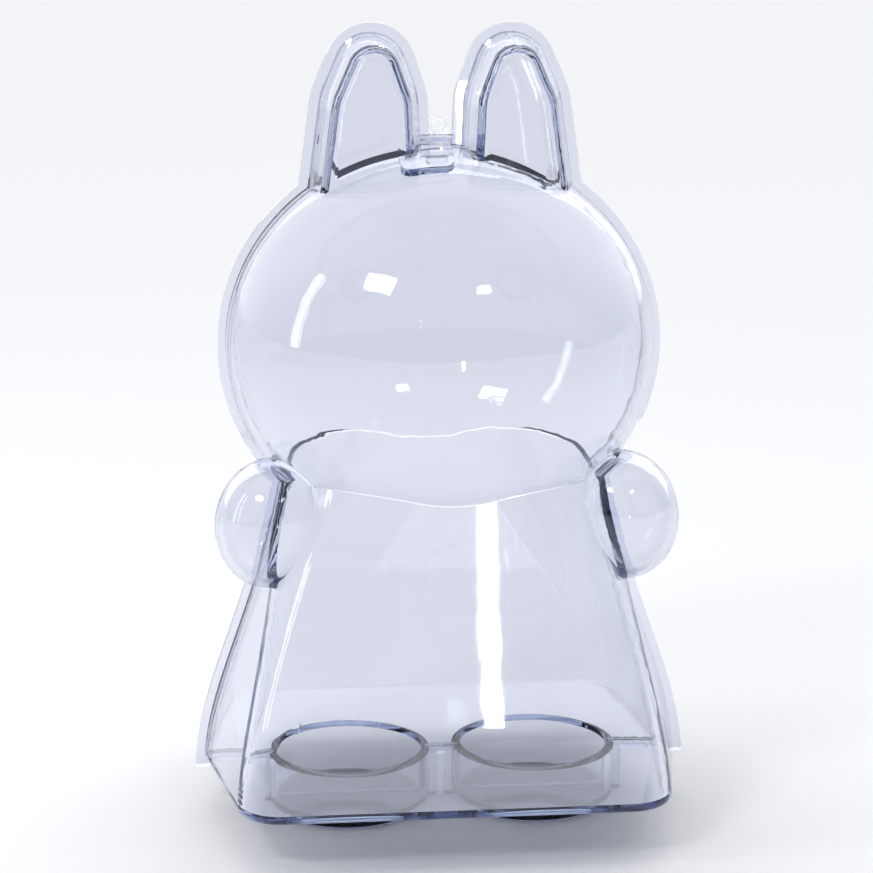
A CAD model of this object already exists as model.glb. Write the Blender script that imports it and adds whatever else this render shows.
import math

import bmesh
import bpy
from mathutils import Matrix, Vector

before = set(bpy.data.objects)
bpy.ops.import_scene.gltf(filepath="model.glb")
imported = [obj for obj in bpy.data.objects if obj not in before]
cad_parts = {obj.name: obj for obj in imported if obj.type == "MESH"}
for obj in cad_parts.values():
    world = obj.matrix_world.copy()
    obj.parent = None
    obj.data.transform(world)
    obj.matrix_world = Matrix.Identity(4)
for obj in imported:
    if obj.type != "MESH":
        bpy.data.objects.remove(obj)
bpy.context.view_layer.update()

MM = 0.001

# Camera: just left of the rabbit's front, a little above it
CAMERA_AZIMUTH = math.radians(-5.6)
CAMERA_ELEVATION = math.radians(12.75)
CAMERA_DISTANCE = 500 * MM
CAMERA_TARGET = Vector((-0.8, 0.0, 81.4)) * MM
CAMERA_LENS = 96.9

# Plastics: tint, roughness and strength of the ripples
PLASTIC_IOR = 1.42
SHELL_PLASTIC = ((0.93, 0.935, 0.97), 0.02, 0.05)
STOPPER_PLASTIC = ((0.95, 0.96, 0.985), 0.06, 0.16)

# Light lost per metre of plastic: hardly any through a wall, a good deal along an edge
ABSORPTION_PER_METRE = 70
ABSORPTION_COLOUR = (0.42, 0.50, 0.68, 1)

# Grain of the plastic: slow flow ripples, and fine scratches drawn out along the height
RIPPLE_SCALE = 38
RIPPLE_HEIGHT = 0.6 * MM
SCRATCH_SCALE = 900
SCRATCH_STRETCH = (1.0, 1.0, 0.06)
SCRATCH_ROUGHENING = 0.12

# Floor: metres from the figure to each edge
FLOOR_REACH = 40.0
FLOOR_COLOUR = (0.97, 0.97, 0.97)

# Soft boxes: name, place, point aimed at, width and height, radiance
FIGURE_CENTRE = (0, 0, 0.09)
SOFT_BOXES = [
    ("strip_front", (0.079, -0.66, 0.078), (0.006, 0, 0.047), (0.009, 0.062), 24),
    ("window_top_left", (-0.40, -0.45, 0.62), FIGURE_CENTRE, (0.20, 0.12), 16),
    ("window_top_right", (0.20, -0.50, 0.52), FIGURE_CENTRE, (0.08, 0.05), 16),
    ("strip_left", (-0.75, -0.10, 0.35), FIGURE_CENTRE, (0.06, 0.5), 8),
]

# Room: white towards this direction (behind and above the figure), dark away from it
ROOM_BRIGHT_WAY = (0.0, 0.75, 0.66)
ROOM_STRENGTH = 1.4
ROOM_DARK = (0.30, (0.02, 0.026, 0.05, 1))
ROOM_MIDDLE = (0.56, (0.12, 0.14, 0.22, 1))
ROOM_WHITE = (0.80, (1.0, 1.0, 1.0, 1))

# Bounces of light: each wall is crossed many times, so the count is high
GLASS_BOUNCES = 32
ALL_BOUNCES = 40


def node_tree(material):
    """Clears a material's nodes and returns (nodes, links)."""
    material.use_nodes = True
    tree = material.node_tree
    tree.nodes.clear()
    return tree.nodes, tree.links


def add_node(nodes, kind, **values):
    """A node with the given properties set."""
    node = nodes.new(kind)
    for name, value in values.items():
        setattr(node, name, value)
    return node


def clear_plastic(name, tint, roughness, ripple):
    """Injection-moulded clear plastic: glassy, with faint flow ripples and fine handling scratches."""
    material = bpy.data.materials.new(name)
    nodes, links = node_tree(material)
    output = add_node(nodes, "ShaderNodeOutputMaterial")
    surface = add_node(nodes, "ShaderNodeBsdfPrincipled")
    surface.inputs["Base Color"].default_value = (*tint, 1)
    surface.inputs["IOR"].default_value = PLASTIC_IOR
    surface.inputs["Transmission Weight"].default_value = 1.0
    surface.inputs["Specular IOR Level"].default_value = 0.55
    coordinates = add_node(nodes, "ShaderNodeTexCoord")

    flow = add_node(nodes, "ShaderNodeTexNoise")
    flow.inputs["Scale"].default_value = RIPPLE_SCALE
    flow.inputs["Detail"].default_value = 2
    flow.inputs["Distortion"].default_value = 0.6
    links.new(coordinates.outputs["Object"], flow.inputs["Vector"])
    flow_bump = add_node(nodes, "ShaderNodeBump")
    flow_bump.inputs["Strength"].default_value = ripple
    flow_bump.inputs["Distance"].default_value = RIPPLE_HEIGHT
    links.new(flow.outputs["Fac"], flow_bump.inputs["Height"])

    scratches = add_node(nodes, "ShaderNodeTexNoise")
    scratches.inputs["Scale"].default_value = SCRATCH_SCALE
    scratches.inputs["Detail"].default_value = 4
    stretch = add_node(nodes, "ShaderNodeMapping")
    stretch.inputs["Scale"].default_value = SCRATCH_STRETCH
    links.new(coordinates.outputs["Object"], stretch.inputs["Vector"])
    links.new(stretch.outputs["Vector"], scratches.inputs["Vector"])
    scuffs = add_node(nodes, "ShaderNodeMapRange")
    scuffs.inputs["From Min"].default_value = 0.62
    scuffs.inputs["From Max"].default_value = 0.78
    scuffs.inputs["To Min"].default_value = roughness
    scuffs.inputs["To Max"].default_value = roughness + SCRATCH_ROUGHENING
    links.new(scratches.outputs["Fac"], scuffs.inputs["Value"])
    links.new(scuffs.outputs["Result"], surface.inputs["Roughness"])
    links.new(flow_bump.outputs["Normal"], surface.inputs["Normal"])
    links.new(surface.outputs["BSDF"], output.inputs["Surface"])

    absorption = add_node(nodes, "ShaderNodeVolumeAbsorption")
    absorption.inputs["Color"].default_value = ABSORPTION_COLOUR
    absorption.inputs["Density"].default_value = ABSORPTION_PER_METRE
    links.new(absorption.outputs["Volume"], output.inputs["Volume"])
    return material


def matte_surface(name, colour, variation):
    """Plain studio paper or board with a very slight unevenness."""
    material = bpy.data.materials.new(name)
    nodes, links = node_tree(material)
    output = add_node(nodes, "ShaderNodeOutputMaterial")
    surface = add_node(nodes, "ShaderNodeBsdfPrincipled")
    surface.inputs["Roughness"].default_value = 0.85
    noise = add_node(nodes, "ShaderNodeTexNoise")
    noise.inputs["Scale"].default_value = 3
    coordinates = add_node(nodes, "ShaderNodeTexCoord")
    links.new(coordinates.outputs["Object"], noise.inputs["Vector"])
    ramp = add_node(nodes, "ShaderNodeValToRGB")
    ramp.color_ramp.elements[0].color = (*[c * (1 - variation) for c in colour], 1)
    ramp.color_ramp.elements[1].color = (*colour, 1)
    links.new(noise.outputs["Fac"], ramp.inputs["Fac"])
    links.new(ramp.outputs["Color"], surface.inputs["Base Color"])
    links.new(surface.outputs["BSDF"], output.inputs["Surface"])
    return material


def finish_shells():
    """Clear plastic on the CAD shells and the stopper."""
    shell = clear_plastic("clear_shell", *SHELL_PLASTIC)
    stopper = clear_plastic("clear_stopper", *STOPPER_PLASTIC)
    for name, material in (("front_shell", shell), ("back_shell", shell), ("stopper", stopper)):
        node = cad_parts[name]
        node.data.materials.clear()
        node.data.materials.append(material)


def plane_mesh(name, corners, material):
    """A flat four-sided panel."""
    mesh = bpy.data.meshes.new(name)
    bm = bmesh.new()
    bm.faces.new([bm.verts.new(c) for c in corners])
    bm.to_mesh(mesh)
    bm.free()
    panel = bpy.data.objects.new(name, mesh)
    mesh.materials.append(material)
    bpy.context.scene.collection.objects.link(panel)
    return panel


def build_stage():
    """White table top that runs far out on every side."""
    floor = matte_surface("studio_floor", FLOOR_COLOUR, 0.01)
    near, far = -FLOOR_REACH, FLOOR_REACH
    corners = [(near, near, 0), (far, near, 0), (far, far, 0), (near, far, 0)]
    plane_mesh("floor", corners, floor)


def area_light(name, place, aim, size, radiance):
    """A rectangular soft box aimed at a point, as bright as `radiance` on its face."""
    data = bpy.data.lights.new(name, "AREA")
    data.shape = "RECTANGLE"
    data.size, data.size_y = size
    data.energy = radiance * math.pi * size[0] * size[1]
    light = bpy.data.objects.new(name, data)
    light.location = place
    light.rotation_mode = "QUATERNION"
    light.rotation_quaternion = (Vector(aim) - Vector(place)).to_track_quat("-Z", "Y")
    bpy.context.scene.collection.objects.link(light)


def build_lights():
    """Small bright soft boxes for the highlights, in a room white behind and above, dark in front."""
    for box in SOFT_BOXES:
        area_light(*box)
    world = bpy.data.worlds.new("studio")
    bpy.context.scene.world = world
    world.use_nodes = True
    nodes, links = world.node_tree.nodes, world.node_tree.links
    nodes.clear()
    output = add_node(nodes, "ShaderNodeOutputWorld")
    background = add_node(nodes, "ShaderNodeBackground")
    coordinates = add_node(nodes, "ShaderNodeTexCoord")
    facing = add_node(nodes, "ShaderNodeVectorMath", operation="DOT_PRODUCT")
    facing.inputs[1].default_value = ROOM_BRIGHT_WAY
    links.new(coordinates.outputs["Generated"], facing.inputs[0])
    shift = add_node(nodes, "ShaderNodeMapRange")
    shift.inputs["From Min"].default_value = -1.0
    shift.inputs["From Max"].default_value = 1.0
    links.new(facing.outputs["Value"], shift.inputs["Value"])
    ramp = add_node(nodes, "ShaderNodeValToRGB")
    links.new(shift.outputs["Result"], ramp.inputs["Fac"])
    dark, white = ramp.color_ramp.elements
    dark.position, dark.color = ROOM_DARK
    white.position, white.color = ROOM_WHITE
    middle = ramp.color_ramp.elements.new(ROOM_MIDDLE[0])
    middle.color = ROOM_MIDDLE[1]
    links.new(ramp.outputs["Color"], background.inputs["Color"])
    background.inputs["Strength"].default_value = ROOM_STRENGTH
    links.new(background.outputs["Background"], output.inputs["Surface"])


def build_camera():
    """The photograph's point of view."""
    data = bpy.data.cameras.new("camera")
    data.lens = CAMERA_LENS
    data.sensor_width = 36
    back = Vector((
        math.sin(CAMERA_AZIMUTH) * math.cos(CAMERA_ELEVATION),
        -math.cos(CAMERA_AZIMUTH) * math.cos(CAMERA_ELEVATION),
        math.sin(CAMERA_ELEVATION),
    ))
    camera = bpy.data.objects.new("camera", data)
    camera.location = CAMERA_TARGET + back * CAMERA_DISTANCE
    camera.rotation_mode = "QUATERNION"
    camera.rotation_quaternion = (-back).to_track_quat("-Z", "Y")
    bpy.context.scene.collection.objects.link(camera)
    bpy.context.scene.camera = camera


finish_shells()
build_stage()
build_lights()
build_camera()
bpy.context.scene.view_settings.view_transform = "Standard"
bpy.context.scene.cycles.transmission_bounces = GLASS_BOUNCES
bpy.context.scene.cycles.glossy_bounces = GLASS_BOUNCES
bpy.context.scene.cycles.max_bounces = ALL_BOUNCES
